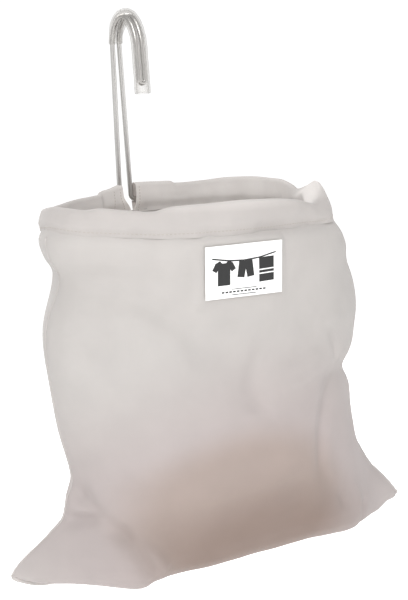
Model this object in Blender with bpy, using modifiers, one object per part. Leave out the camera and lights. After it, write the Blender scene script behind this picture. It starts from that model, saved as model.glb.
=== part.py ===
"""Mesh laundry bag: an open-topped cloth bag hung on one bent wire.

The wire is a closed loop: a crook that hangs over a rail or line, two legs
side by side, and an oval hoop inside the bag's hem.  A soft clear sleeve
covers the crook.  Everything is in metres, +Z up, front towards -Y.  The
origin is the hang point, the top of the inside of the sleeved crook.
"""
import math

import bmesh
import bpy
from mathutils import Vector

# ---- driving dimensions -------------------------------------------------
WIRE = 0.004                 # wire diameter
CROOK_R = 0.0162             # crook's half-width front to back, centre line
CROOK_RISE = 0.0250          # height of the crook's arch, centre line
LEG_GAP = 0.0050             # wire spacing inside the sleeve, centre to centre
BACK_GAP = 0.0064            # wire spacing where the arch meets the back legs
TIP_FLARE = 0.0007           # how far the free end stands out from the crook
TIP_DEPTH = 0.0451           # free end's centre line below the hang point
FOOT_X = 0.0052              # half the leg spacing where the legs turn outward
FOOT_R = 0.004               # bend radius from leg to hoop

SLEEVE_R = 0.00625           # clear sleeve's outer radius
SLEEVE_WALL = 0.00135        # sleeve wall
NECK_R = 0.00285             # sleeve's half-thickness at its squeezed back end
NECK_SPREAD = 0.0032         # half the flat part of the squeezed back end
NECK_WALL = 0.00050          # sleeve wall at the squeezed back end
NECK_START = math.radians(136)  # where along the arch the squeeze starts
NECK_END = math.radians(160)    # and where it is complete
SLEEVE_FREE = 0.0526         # sleeve's free end below the hang point
SLEEVE_BACK = 0.0153         # sleeve's back end below the hang point

HOOP_Z = -0.1391             # hoop centre line below the hang point
HOOP_A = 0.113               # hoop half-width
HOOP_B = 0.0735              # hoop half-depth
HOOP_DROP = math.tan(math.radians(3.0))  # the hand-bent hoop falls to the right

HEM = 0.022                  # hem casing height, centred on the wire
HEM_WALL = 0.0012            # casing cloth, as drawn
HEM_HALF = 0.0040            # casing half-thickness at the wire
SLIT = 0.0078                # half-width of the slit for the legs

CLOTH = 0.0012               # panel cloth, as drawn
GAP = 0.0004                 # clearance between neighbouring pieces
RIM_GAP = 0.0030             # clearance between the casing and the bag below
SEAM_W = 0.0032              # seam strip width
SEAM_GAP = 0.0010            # clearance between a seam strip and the panel edges
SEAM_T = 0.0024              # seam strip thickness
FLAT_HALF = 0.0013           # half the space kept between panels at the seams

PANEL_COLUMNS = 25
PANEL_ROWS = 23
SEAM_SHORT = 7               # rows a side seam stops short of the bottom seam

LABEL_W = 0.070
LABEL_H = 0.0405
LABEL_T = 0.0008
LABEL_X = 0.002              # label centre across the front
LABEL_TOP = -0.1591          # label's top edge

HOOP_Y = CROOK_R - HOOP_B    # hoop centre, front to back
HEM_FOOT = HOOP_Z - HEM / 2
CROOK_Z = SLEEVE_R - CROOK_RISE

# The bag at a few heights: height, centre across, half-width, front bulge,
# back bulge, twist in degrees, and how far the section's ends draw to a point
# (0 an oval, 1 a lens).  The flat cut is about 0.33 wide all the way down.
STATIONS = (
    (HEM_FOOT - RIM_GAP, -0.001, 0.1155, 0.0750, 0.0750, 0.0, 0.00),
    (-0.1811, 0.0185, 0.1285, 0.073, 0.071, -2.0, 0.05),
    (-0.2161, 0.018, 0.137, 0.069, 0.065, -4.0, 0.15),
    (-0.2561, 0.016, 0.134, 0.072, 0.062, -5.5, 0.20),
    (-0.2961, 0.015, 0.127, 0.077, 0.064, -7.0, 0.30),
    (-0.3361, 0.023, 0.127, 0.078, 0.066, -8.0, 0.40),
    (-0.3761, 0.024, 0.142, 0.071, 0.061, -9.0, 0.60),
    (-0.3971, 0.018, 0.162, 0.065, 0.056, -10.0, 0.85),
    (-0.4091, 0.017, 0.170, 0.055, 0.046, -10.0, 1.00),
    (-0.4156, 0.017, 0.1715, 0.034, 0.029, -10.0, 1.00),
    (-0.4171, 0.017, 0.1715, 0.000, 0.000, -10.0, 1.00),
)
LENS_POWER = 2.6             # how square the pointed section's middle is
LEAN = 0.15                  # the load's fullness sits towards the left
EAR_LIFT = 0.014             # corners stand this far above the bottom's middle
BULGE_BACK = 0.004           # the load settles back under the hook

COLOURS = {
    "wire_frame": ((0.72, 0.71, 0.69), 0.22, 1.0),
    "crook_sleeve": ((0.86, 0.86, 0.84), 0.30, 0.0),
    "front_hem_casing": ((0.66, 0.63, 0.60), 0.85, 0.0),
    "back_hem_casing_left": ((0.60, 0.57, 0.54), 0.85, 0.0),
    "back_hem_casing_right": ((0.60, 0.57, 0.54), 0.85, 0.0),
    "front_panel": ((0.68, 0.65, 0.62), 0.88, 0.0),
    "back_panel": ((0.62, 0.59, 0.56), 0.88, 0.0),
    "side_seam_left": ((0.58, 0.55, 0.52), 0.90, 0.0),
    "side_seam_right": ((0.58, 0.55, 0.52), 0.90, 0.0),
    "bottom_seam": ((0.56, 0.53, 0.50), 0.90, 0.0),
    "label": ((0.90, 0.90, 0.89), 0.55, 0.0),
}


# ---- scene helpers ------------------------------------------------------
def clear_scene():
    for obj in list(bpy.data.objects):
        bpy.data.objects.remove(obj, do_unlink=True)


def make_collection(name):
    collection = bpy.data.collections.new(name)
    bpy.context.scene.collection.children.link(collection)
    return collection


def material_for(name):
    colour, roughness, metallic = COLOURS[name]
    material = bpy.data.materials.new(name)
    material.use_nodes = True
    shader = material.node_tree.nodes["Principled BSDF"]
    shader.inputs["Base Color"].default_value = (*colour, 1.0)
    shader.inputs["Roughness"].default_value = roughness
    shader.inputs["Metallic"].default_value = metallic
    return material


def add_object(collection, name, data):
    obj = bpy.data.objects.new(name, data)
    collection.objects.link(obj)
    data.materials.append(material_for(name))
    return obj


def mesh_from(name, points, faces, closed=True):
    mesh = bpy.data.meshes.new(name)
    mesh.from_pydata([tuple(p) for p in points], [], faces)
    if closed:
        work = bmesh.new()
        work.from_mesh(mesh)
        bmesh.ops.recalc_face_normals(work, faces=work.faces)
        work.to_mesh(mesh)
        work.free()
    return mesh


def smoothstep(t):
    t = min(max(t, 0.0), 1.0)
    return t * t * (3.0 - 2.0 * t)


def steps(start, end, count):
    return [start + (end - start) * i / (count - 1) for i in range(count)]


# ---- wire ---------------------------------------------------------------
def hoop_point(angle):
    """Hoop centre line; 0 is the back, growing towards +X."""
    x = HOOP_A * math.sin(angle)
    y = HOOP_Y + HOOP_B * math.cos(angle)
    return Vector((x, y, HOOP_Z - HOOP_DROP * x))


def hoop_angle(x):
    """Angle on the hoop's back half at a given x."""
    return math.asin(x / HOOP_A)


def arch_point(angle, x=0.0):
    """Crook centre line; 0 is the foot of the arch at the front, pi at the back."""
    return Vector((x, -CROOK_R * math.cos(angle), CROOK_Z + CROOK_RISE * math.sin(angle)))


def free_leg_y(z):
    """The free leg stands a little further out towards its end."""
    return -CROOK_R - TIP_FLARE * smoothstep((CROOK_Z - z) / (TIP_DEPTH + CROOK_Z))


def half_wire(side):
    """Centre line of one half, from the free end round to the hoop's front."""
    points = []
    bend = LEG_GAP / 2
    tip_z = -TIP_DEPTH + bend
    for angle in steps(0.0, math.pi / 2, 6)[1:]:
        z = tip_z - bend * math.cos(angle)
        points.append(Vector((side * bend * math.sin(angle), free_leg_y(z), z)))
    for z in steps(tip_z, CROOK_Z, 6)[1:-1]:
        points.append(Vector((side * bend, free_leg_y(z), z)))
    for angle in steps(0.0, math.pi, 25):
        spread = smoothstep((angle - NECK_START) / (math.pi - NECK_START))
        points.append(arch_point(angle, side * (bend + (BACK_GAP / 2 - bend) * spread)))
    start = hoop_angle(side * (FOOT_X + FOOT_R))
    joins = hoop_point(start)
    foot_z = joins.z + FOOT_R
    for t in steps(0.0, 1.0, 14)[1:]:
        x = BACK_GAP / 2 + (FOOT_X - BACK_GAP / 2) * t
        points.append(Vector((side * x, CROOK_R, CROOK_Z + (foot_z - CROOK_Z) * t)))
    for angle in steps(0.0, math.pi / 2, 6)[1:-1]:
        x = side * (FOOT_X + FOOT_R * (1.0 - math.cos(angle)))
        y = CROOK_R + (joins.y - CROOK_R) * math.sin(angle) ** 2
        points.append(Vector((x, y, foot_z - FOOT_R * math.sin(angle))))
    for angle in steps(start, side * math.pi, 34):
        points.append(hoop_point(angle))
    return points


def add_wire(collection):
    right = half_wire(1.0)
    left = half_wire(-1.0)
    tip = Vector((0.0, free_leg_y(-TIP_DEPTH), -TIP_DEPTH))
    loop = [tip] + right + left[-2::-1]
    curve = bpy.data.curves.new("wire_frame", "CURVE")
    curve.dimensions = "3D"
    curve.bevel_depth = WIRE / 2
    curve.bevel_resolution = 2
    curve.use_fill_caps = True
    spline = curve.splines.new("POLY")
    spline.points.add(len(loop) - 1)
    for slot, point in zip(spline.points, loop):
        slot.co = (*point, 1.0)
    spline.use_cyclic_u = True
    return add_object(collection, "wire_frame", curve)


# ---- sleeve -------------------------------------------------------------
def sleeve_route():
    """Sleeve centre line with how far its section is squeezed, 0 to 1."""
    route = []
    for z in steps(-SLEEVE_FREE, CROOK_Z, 6)[:-1]:
        route.append((Vector((0.0, free_leg_y(z), z)), 0.0))
    last = math.pi - math.asin((-SLEEVE_BACK - CROOK_Z) / CROOK_RISE)
    for angle in steps(0.0, NECK_START, 14)[:-1] + steps(NECK_START, last, 7):
        route.append((arch_point(angle), smoothstep((angle - NECK_START) / (NECK_END - NECK_START))))
    return route


def add_sleeve(collection):
    """A tube over both wires, cut square at its ends, squeezed flat at the back."""
    count = 16
    route = sleeve_route()
    outer = []
    inner = []
    for i, (centre, squeeze) in enumerate(route):
        along = (route[min(i + 1, len(route) - 1)][0] - route[max(i - 1, 0)][0]).normalized()
        across = Vector((1.0, 0.0, 0.0))
        normal = across.cross(along)
        radius = SLEEVE_R + (NECK_R - SLEEVE_R) * squeeze
        wall = SLEEVE_WALL + (NECK_WALL - SLEEVE_WALL) * squeeze
        for k in range(count):
            angle = (k + 0.5) * math.tau / count
            flat = math.copysign(NECK_SPREAD * squeeze, math.cos(angle))
            for ring, r in ((outer, radius), (inner, radius - wall)):
                x = flat + r * math.cos(angle)
                ring.append(centre + across * x + normal * r * math.sin(angle))
    total = len(outer)
    faces = []
    for i in range(len(route) - 1):
        for k in range(count):
            n = (k + 1) % count
            a = i * count
            b = a + count
            faces.append((a + k, a + n, b + n, b + k))
            faces.append((total + a + k, total + b + k, total + b + n, total + a + n))
    last = total - count
    for k in range(count):
        n = (k + 1) % count
        faces.append((k, total + k, total + n, n))
        faces.append((last + k, last + n, total + last + n, total + last + k))
    return add_object(collection, "crook_sleeve", mesh_from("crook_sleeve", outer + inner, faces))


# ---- hem casing ---------------------------------------------------------
def hem_outline():
    """Casing section: a folded strip, closed at the top, a slot at the foot.

    Points are (outward, up) from the wire's centre, round the outside from
    one foot over the fold to the other, and back round the inside.
    """
    half = HEM / 2
    inner_half = HEM_HALF - HEM_WALL
    outside = []
    for t in steps(-1.0, 1.0, 9):
        up = half * math.sin(t * math.pi / 2)
        out = 0.0017 + (HEM_HALF - 0.0017) * math.cos(t * math.pi / 2) ** 1.3
        outside.append((out, up))
    inside = [(0.0004, -half), (0.0004, -0.62 * half)]
    for t in steps(-1.0, 1.0, 7)[1:]:
        up = 0.58 * half * math.sin(t * math.pi / 2)
        out = 0.0004 + (inner_half - 0.0004) * math.cos(t * math.pi / 2) ** 0.8
        inside.append((out, up))
    mirrored_out = [(-o, u) for o, u in reversed(outside)]
    mirrored_in = [(-o, u) for o, u in inside[:-1]]
    return outside + mirrored_out + mirrored_in + list(reversed(inside))


def casing(collection, name, start, end, count, open_start=0.0, open_end=0.0):
    """Sweep the casing section along the hoop between two angles.

    open_start and open_end let the foot of that end run on, so that the
    slit between the two back casings closes towards its foot.
    """
    outline = hem_outline()
    size = len(outline)
    points = []
    for row, angle in enumerate(steps(start, end, count)):
        for out, up in outline:
            lean = smoothstep((-up - 0.0030) / (HEM / 2 - 0.0030))
            shift = 0.0
            if row == 0:
                shift = open_start * lean
            if row == count - 1:
                shift = open_end * lean
            at = angle + shift
            normal = Vector((math.sin(at) / HOOP_A, math.cos(at) / HOOP_B, 0.0)).normalized()
            points.append(hoop_point(at) + normal * out + Vector((0.0, 0.0, up)))
    faces = []
    for row in range(count - 1):
        for i in range(size):
            j = (i + 1) % size
            a = row * size
            b = a + size
            faces.append((a + i, a + j, b + j, b + i))
    faces.append(tuple(reversed(range(size))))
    faces.append(tuple((count - 1) * size + i for i in range(size)))
    return add_object(collection, name, mesh_from(name, points, faces))


def add_casings(collection):
    joint = GAP / 2 / HOOP_B
    quarter = math.pi / 2
    right = hoop_angle(SLIT)
    left = hoop_angle(-SLIT)
    run_on = (SLIT - GAP) / HOOP_A
    casing(collection, "back_hem_casing_right", right, quarter - joint, 13, open_start=-run_on)
    casing(collection, "back_hem_casing_left", -quarter + joint, left, 13, open_end=run_on)
    casing(collection, "front_hem_casing", quarter + joint, 3 * quarter - joint, 27)


# ---- bag ----------------------------------------------------------------
def station(v):
    """Smooth values between the stations; v runs 0 to 1 by station number."""
    place = v * (len(STATIONS) - 1)
    i = min(int(place), len(STATIONS) - 2)
    t = place - i
    before = STATIONS[max(i - 1, 0)]
    low = STATIONS[i]
    high = STATIONS[i + 1]
    after = STATIONS[min(i + 2, len(STATIONS) - 1)]
    values = []
    for p0, p1, p2, p3 in zip(before, low, high, after):
        slope1 = (p2 - p0) / 2
        slope2 = (p3 - p1) / 2
        cubic = (2 * t**3 - 3 * t**2 + 1) * p1 + (t**3 - 2 * t**2 + t) * slope1
        cubic += (3 * t**2 - 2 * t**3) * p2 + (t**3 - t**2) * slope2
        values.append(cubic)
    return values


def bag_point(angle, v, face, proud=0.0):
    """A point on the bag's cloth.

    angle runs from 0 at the right seam to pi at the left one, face is -1 for
    the front and +1 for the back, and proud stands the point off the cloth.
    """
    z, centre, half, front, back, twist, pointed = station(v)
    across = math.cos(angle)
    rise = math.sin(angle)
    bulge = front if face < 0 else back
    lens = (1 - abs(across) ** LENS_POWER) * (1 - LEAN * across)
    depth = bulge * ((1 - pointed) * rise + pointed * lens)
    depth = max(depth, FLAT_HALF) + proud
    x = (half + proud * (1 - pointed)) * across
    y = face * depth
    turn = math.radians(twist)
    low = smoothstep((v - 0.55) / 0.45)
    px = centre + x * math.cos(turn) - y * math.sin(turn)
    py = HOOP_Y + BULGE_BACK * smoothstep(v / 0.6) + x * math.sin(turn) + y * math.cos(turn)
    rim = HOOP_DROP * px * (1 - smoothstep(v / 0.35))
    return Vector((px, py, z - rim + EAR_LIFT * low * across**4))


def grid_mesh(name, point_at, columns, rows, outward):
    points = [point_at(i / (columns - 1), j / (rows - 1)) for j in range(rows) for i in range(columns)]
    faces = []
    for j in range(rows - 1):
        for i in range(columns - 1):
            a = j * columns + i
            quad = (a, a + columns, a + columns + 1, a + 1)
            faces.append(quad if outward else tuple(reversed(quad)))
    return mesh_from(name, points, faces, closed=False)


def thicken(obj, thickness):
    solidify = obj.modifiers.new("cloth", "SOLIDIFY")
    solidify.thickness = thickness
    solidify.offset = 0.0


def add_panel(collection, name, face):
    def at(u, v):
        return bag_point(math.pi * u, v, face)

    obj = add_object(collection, name, grid_mesh(name, at, PANEL_COLUMNS, PANEL_ROWS, face > 0))
    thicken(obj, CLOTH)


def strip(collection, name, path, widths, heights):
    """A closed strip of four-cornered section along a path."""
    points = []
    for point, wide, tall in zip(path, widths, heights):
        for w, t in ((-1, -1), (1, -1), (1, 1), (-1, 1)):
            points.append(point + wide * w / 2 + tall * t / 2)
    faces = []
    for i in range(len(path) - 1):
        for k in range(4):
            n = (k + 1) % 4
            faces.append((4 * i + k, 4 * i + n, 4 * i + 4 + n, 4 * i + 4 + k))
    last = 4 * (len(path) - 1)
    faces.append((3, 2, 1, 0))
    faces.append((last, last + 1, last + 2, last + 3))
    return add_object(collection, name, mesh_from(name, points, faces))


def seam_direction(v):
    turn = math.radians(station(v)[5])
    return Vector((math.cos(turn), math.sin(turn), 0.0)), Vector((-math.sin(turn), math.cos(turn), 0.0))


def seam_edge(side, v):
    """Where the two panels meet at one side."""
    angle = 0.0 if side > 0 else math.pi
    return (bag_point(angle, v, -1) + bag_point(angle, v, 1)) / 2


def add_side_seam(collection, name, side):
    path = []
    outward = []
    through = []
    for row in range(PANEL_ROWS - SEAM_SHORT):
        v = row / (PANEL_ROWS - 1)
        across = seam_direction(v)[1]
        run = seam_edge(side, v + 0.01) - seam_edge(side, max(v - 0.01, 0.0))
        normal = across.cross(run).normalized() * side
        path.append(seam_edge(side, v) + normal * (CLOTH / 2 + SEAM_GAP + SEAM_W / 2))
        outward.append(normal * SEAM_W)
        through.append(across * SEAM_T)
    return strip(collection, name, path, outward, through)


def add_bottom_seam(collection):
    columns = 25
    along, across = seam_direction(1.0)
    path = []
    for angle in steps(0.0, math.pi, columns):
        middle = (bag_point(angle, 1.0, -1) + bag_point(angle, 1.0, 1)) / 2
        path.append(middle - Vector((0.0, 0.0, CLOTH / 2 + GAP + SEAM_W / 2)))
    path[0] += along * SEAM_W
    path[-1] -= along * SEAM_W
    widths = [across * SEAM_T] * columns
    heights = [Vector((0.0, 0.0, SEAM_W))] * columns
    return strip(collection, "bottom_seam", path, widths, heights)


def height_to_v(z):
    """Invert the station heights by halving."""
    low, high = 0.0, 1.0
    for _ in range(40):
        middle = (low + high) / 2
        if station(middle)[0] > z:
            low = middle
        else:
            high = middle
    return low


def add_label(collection):
    """A sewn patch that follows the front panel."""
    proud = CLOTH / 2 + GAP + LABEL_T / 2

    def at(u, t):
        v = height_to_v(LABEL_TOP - LABEL_H * t)
        centre, half = station(v)[1:3]
        across = (LABEL_X - centre + LABEL_W * (u - 0.5)) / half
        return bag_point(math.acos(across), v, -1, proud)

    obj = add_object(collection, "label", grid_mesh("label", at, 11, 7, True))
    thicken(obj, LABEL_T)


# ---- build --------------------------------------------------------------
def build():
    clear_scene()
    collection = make_collection("mesh_laundry_bag")
    add_wire(collection)
    add_sleeve(collection)
    add_casings(collection)
    add_panel(collection, "front_panel", -1)
    add_panel(collection, "back_panel", 1)
    add_side_seam(collection, "side_seam_left", -1)
    add_side_seam(collection, "side_seam_right", 1)
    add_bottom_seam(collection)
    add_label(collection)


build()
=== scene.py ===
"""Mesh laundry bag: an open cloth bag hung on one bent wire, seen in a plain studio.

The wire and the hem ride on the body "hanger".
"""
import math

import bmesh
import bpy
import numpy as np
from mathutils import Matrix, Vector, noise


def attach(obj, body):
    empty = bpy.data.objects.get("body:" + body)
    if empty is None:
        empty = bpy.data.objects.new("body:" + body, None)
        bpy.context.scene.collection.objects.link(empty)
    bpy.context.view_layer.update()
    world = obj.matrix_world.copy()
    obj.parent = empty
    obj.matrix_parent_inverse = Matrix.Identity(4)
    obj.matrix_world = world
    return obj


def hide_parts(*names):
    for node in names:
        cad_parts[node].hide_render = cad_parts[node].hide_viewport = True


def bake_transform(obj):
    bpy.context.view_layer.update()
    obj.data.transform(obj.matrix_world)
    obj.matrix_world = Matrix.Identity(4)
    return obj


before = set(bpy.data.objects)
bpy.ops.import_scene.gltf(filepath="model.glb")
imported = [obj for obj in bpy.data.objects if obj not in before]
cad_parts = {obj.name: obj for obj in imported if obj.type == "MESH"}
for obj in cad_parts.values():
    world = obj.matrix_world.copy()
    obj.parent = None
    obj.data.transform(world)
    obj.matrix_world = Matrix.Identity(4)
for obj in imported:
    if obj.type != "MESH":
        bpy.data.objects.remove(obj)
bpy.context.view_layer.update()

# ---- sizes shared with the CAD, in metres ----
WIRE = 0.004
CROOK_R = 0.0162             # the arch: half its depth, and its height
CROOK_RISE = 0.0250
LEG_GAP = 0.0050             # between the two wires' centres: front, back
BACK_GAP = 0.0064
TIP_FLARE = 0.0007
TIP_DEPTH = 0.0451           # the hairpin's end below the hang point
FOOT_X = 0.0052              # where the legs turn out into the hoop
FOOT_R = 0.004
SLEEVE_R = 0.00625
SLEEVE_WALL = 0.00135
NECK_R = 0.00285             # the sleeve's flatter part behind the arch
NECK_SPREAD = 0.0032
NECK_WALL = 0.00050
NECK_START = math.radians(136)
NECK_END = math.radians(160)
SLEEVE_FREE = 0.0526         # its ends below the hang point: front, back
SLEEVE_BACK = 0.0153
HOOP_Z = -0.1391
HOOP_A = 0.113               # half the hoop's width, and half its depth
HOOP_B = 0.0735
HOOP_DROP = math.tan(math.radians(3.0))
HOOP_Y = CROOK_R - HOOP_B
CROOK_Z = SLEEVE_R - CROOK_RISE
HEM = 0.022
HEM_FOOT = HOOP_Z - HEM / 2
CLOTH = 0.0006

# ---- small helpers ----
def smooth(t):
    """0 below 0, 1 above 1, and an easy curve between."""
    t = np.clip(t, 0.0, 1.0)
    return t * t * (3.0 - 2.0 * t)


def bell(distance, width):
    """1 at distance 0, fading on both sides."""
    return np.exp(-((distance / width) ** 2))


def catmull(keys, values, at, period=None):
    """Smooth values through control points; values may have several columns."""
    keys = np.asarray(keys, float)
    values = np.asarray(values, float)
    if period:
        keys = np.concatenate([keys[-2:] - period, keys, keys[:2] + period])
        values = np.concatenate([values[-2:], values, values[:2]])
    at = np.asarray(at, float)
    i = np.clip(np.searchsorted(keys, at, side="right") - 1, 0, len(keys) - 2)
    before = np.clip(i - 1, 0, len(keys) - 1)
    after = np.clip(i + 2, 0, len(keys) - 1)
    shape = (-1,) + (1,) * (values.ndim - 1)
    gap = (keys[i + 1] - keys[i]).reshape(shape)
    t = (at - keys[i]).reshape(shape) / gap
    slope = lambda first, last: (values[last] - values[first]) / (keys[last] - keys[first]).reshape(shape)
    leave = slope(before, i + 1) * gap
    arrive = slope(i, after) * gap
    cubic = (2 * t**3 - 3 * t**2 + 1) * values[i] + (t**3 - 2 * t**2 + t) * leave
    return cubic + (3 * t**2 - 2 * t**3) * values[i + 1] + (t**3 - t**2) * arrive


def unit(vectors):
    return vectors / np.linalg.norm(vectors, axis=-1)[..., None]


def distance_along(path):
    """Length from the start of a path to each of its points."""
    steps = np.linalg.norm(np.diff(path, axis=0), axis=1)
    return np.concatenate([[0], np.cumsum(steps)])


def noise_field(points, scale, offset):
    """Smooth noise at each point, with lumps about as large as scale."""
    shift = Vector(offset)
    return np.array([noise.noise(Vector(p) / scale + shift) for p in points])


def mesh_object(name, points, faces, material, smooth_shading=True):
    mesh = bpy.data.meshes.new(name)
    mesh.from_pydata([tuple(map(float, p)) for p in points], [], faces)
    mesh.update()
    obj = bpy.data.objects.new(name, mesh)
    bpy.context.scene.collection.objects.link(obj)
    mesh.materials.append(material)
    mesh.polygons.foreach_set("use_smooth", [smooth_shading] * len(mesh.polygons))
    return obj


def grid_faces(rows, columns, flip=False, tube=False, closed=False):
    """Quads over a grid; a tube's columns join round, and it has end caps unless its rows close too."""
    faces = []
    for j in range(rows if closed else rows - 1):
        here, below = j * columns, (j + 1) % rows * columns
        for i in range(columns if tube else columns - 1):
            after = (i + 1) % columns
            quad = (here + i, here + after, below + after, below + i)
            faces.append(tuple(reversed(quad)) if flip else quad)
    if tube and not closed:
        faces.append(tuple(reversed(range(columns))))
        faces.append(tuple(range((rows - 1) * columns, rows * columns)))
    return faces


def set_uv(obj, uv):
    """One texture coordinate per vertex, in metres along the cloth."""
    layer = obj.data.uv_layers.new(name="cloth")
    loops = np.zeros(len(obj.data.loops), int)
    obj.data.loops.foreach_get("vertex_index", loops)
    layer.data.foreach_set("uv", np.asarray(uv, float)[loops].ravel())


def thicken(obj, thickness, outside=None):
    """Give a sheet its thickness and, if named, another material on its outer face."""
    solidify = obj.modifiers.new("cloth", "SOLIDIFY")
    solidify.thickness = thickness
    solidify.offset = 0.0
    if outside:
        obj.data.materials.append(outside)
        solidify.material_offset = 1
    depsgraph = bpy.context.evaluated_depsgraph_get()
    mesh = bpy.data.meshes.new_from_object(obj.evaluated_get(depsgraph))
    obj.modifiers.clear()
    obj.data = mesh
    mesh.set_sharp_from_angle(angle=math.radians(50))


def face_outward(obj):
    work = bmesh.new()
    work.from_mesh(obj.data)
    bmesh.ops.recalc_face_normals(work, faces=work.faces)
    work.to_mesh(obj.data)
    work.free()


# ---- materials ----
class Nodes:
    """A short way to write node trees."""

    def __init__(self, name):
        self.material = bpy.data.materials.new(name)
        self.material.use_nodes = True
        self.tree = self.material.node_tree
        self.tree.nodes.clear()
        self.out = self.tree.nodes.new("ShaderNodeOutputMaterial")

    def add(self, kind, **settings):
        node = self.tree.nodes.new("ShaderNode" + kind)
        for key, value in settings.items():
            if hasattr(node, key):
                setattr(node, key, value)
            else:
                node.inputs[key.replace("_", " ")].default_value = value
        return node

    def link(self, source, target):
        self.tree.links.new(source, target)

    def feed(self, socket, value):
        """A socket takes a colour, a number or another node's output."""
        if isinstance(value, tuple):
            socket.default_value = (*value, 1.0)
        elif isinstance(value, (int, float)):
            socket.default_value = value
        else:
            self.link(value, socket)

    def math(self, operation, first, *second):
        node = self.add("Math", operation=operation)
        for socket, value in zip(node.inputs, (first, *second)):
            self.feed(socket, value)
        return node.outputs[0]

    def noise(self, where, **settings):
        node = self.add("TexNoise", **settings)
        self.link(where, node.inputs["Vector"])
        return node.outputs["Fac"]

    def ramp(self, factor, stops):
        node = self.add("ValToRGB")
        for element, (place, colour) in zip(node.color_ramp.elements, (stops[0], stops[-1])):
            element.position = place
            element.color = (*colour, 1.0)
        for place, colour in stops[1:-1]:
            node.color_ramp.elements.new(place).color = (*colour, 1.0)
        self.link(factor, node.inputs["Fac"])
        return node.outputs["Color"]

    def mix(self, factor, first, second, blend="MIX"):
        node = self.add("Mix", data_type="RGBA", blend_type=blend)
        for number, value in ((0, factor), (6, first), (7, second)):
            self.feed(node.inputs[number], value)
        return node.outputs[2]

    def mix_shaders(self, factor, first, second):
        node = self.add("MixShader")
        self.feed(node.inputs[0], factor)
        self.link(first.outputs[0], node.inputs[1])
        self.link(second.outputs[0], node.inputs[2])
        return node

    def surface(self, shader):
        """The finished material, with this shader on its surface."""
        self.link(shader.outputs[0], self.out.inputs["Surface"])
        return self.material


def linear(r, g, b):
    """An sRGB colour, 0 to 255, as linear light."""
    return tuple(c / 255 / 12.92 if c <= 10 else ((c / 255 + 0.055) / 1.055) ** 2.4 for c in (r, g, b))


WEAVE = 0.0010               # pitch of the fine mesh
THROUGH = 0.35               # share of light that passes through the cloth
# Painted light: from this turn on, the hem's inner face is painted paler, standing in for light reaching
# the inside.
HEM_TURN = 0.019             # along the hem's section, where it turns inward
HEM_TURN_WIDTH = 1 / 70      # length over which its colour changes there


def cloth_material(name, colour, painted_shade=False, inner_painted_light=None, weave=WEAVE):
    """Fine polyester mesh: weave bump, soft mottling, light from behind; on request painted shade low
    down, and painted light on the hem's inner face.
    """
    n = Nodes(name)
    uv = n.add("UVMap", uv_map="cloth").outputs["UV"]
    where = n.add("TexCoord").outputs["Object"]
    separate = n.add("SeparateXYZ")
    n.link(uv, separate.inputs[0])
    threads = []
    for axis in ("X", "Y"):
        turns = n.math("MULTIPLY", separate.outputs[axis], 2 * math.pi / weave)
        threads.append(n.math("ABSOLUTE", n.math("SINE", turns)))
    mesh = n.math("MAXIMUM", threads[0], threads[1])
    mottle = n.noise(where, Scale=38.0, Detail=3.0, Roughness=0.55)
    crumple = n.noise(where, Scale=120.0, Detail=2.0, Roughness=0.5)
    base = n.ramp(mottle, [(0.3, tuple(c * 0.955 for c in colour)), (0.7, colour)])
    # Painted shade and painted shadow low down on the bag's outer face.
    if painted_shade:
        base = paint_shade_low_down(n, where, base)
    # Painted light: past the turn, the hem's inner face is painted paler than its outer face.
    if inner_painted_light:
        past_turn = n.math("SUBTRACT", separate.outputs["Y"], HEM_TURN)
        turned = n.math("SMOOTH_MIN", n.math("DIVIDE", past_turn, HEM_TURN_WIDTH), 1.0)
        base = n.mix(n.math("MAXIMUM", turned, 0.0), base, inner_painted_light)
    shade = n.ramp(mesh, [(0.0, (0.93, 0.93, 0.93)), (1.0, (1.0, 1.0, 1.0))])
    base = n.mix(1.0, base, shade, "MULTIPLY")
    height = n.math("ADD", n.math("MULTIPLY", mesh, 0.35), crumple)
    bump = n.add("Bump", Strength=0.35, Distance=0.0005)
    n.link(height, bump.inputs["Height"])
    shader = n.add("BsdfPrincipled", Roughness=0.72)
    shader.inputs["Sheen Weight"].default_value = 0.25
    shader.inputs["Sheen Roughness"].default_value = 0.45
    shader.inputs["Specular IOR Level"].default_value = 0.25
    n.link(base, shader.inputs["Base Color"])
    n.link(bump.outputs[0], shader.inputs["Normal"])
    behind = n.add("BsdfTranslucent")
    n.link(base, behind.inputs["Color"])
    n.link(bump.outputs[0], behind.inputs["Normal"])
    return n.surface(n.mix_shaders(THROUGH, shader, behind))


def soft_spot(n, where, centre, radius, inner):
    """1 inside an ellipsoid, falling to 0 at its edge."""
    mapping = n.add("Mapping")
    mapping.inputs["Location"].default_value = [-c / r for c, r in zip(centre, radius)]
    mapping.inputs["Scale"].default_value = [1 / r for r in radius]
    n.link(where, mapping.inputs["Vector"])
    length = n.add("VectorMath", operation="LENGTH")
    n.link(mapping.outputs[0], length.inputs[0])
    ramp = n.add("MapRange", interpolation_type="SMOOTHSTEP")
    ramp.inputs["From Min"].default_value = 1.0
    ramp.inputs["From Max"].default_value = inner
    n.link(length.outputs["Value"], ramp.inputs["Value"])
    return ramp.outputs["Result"]


def paint_shade_low_down(n, where, base):
    """Painted shade: the cloth is painted warmer and darker low down, as painted shade where less light
    falls and as the painted shadow of contents that are not modelled.
    """
    # Painted shade over the lower bag, then the painted shadow of the contents, darkest near the bottom.
    wide = soft_spot(n, where, (0.020, -0.060, -0.400), (0.225, 0.30, 0.190), 0.50)
    load_shadow = soft_spot(n, where, (0.004, -0.060, -0.368), (0.110, 0.30, 0.080), 0.62)
    deep_load_shadow = soft_spot(n, where, (0.022, -0.060, -0.408), (0.142, 0.30, 0.082), 0.40)
    base = n.mix(wide, base, n.mix(1.0, base, (0.90, 0.840, 0.850), "MULTIPLY"))
    base = n.mix(load_shadow, base, n.mix(1.0, base, (0.86, 0.800, 0.745), "MULTIPLY"))
    return n.mix(deep_load_shadow, base, n.mix(1.0, base, (0.70, 0.645, 0.610), "MULTIPLY"))


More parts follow.
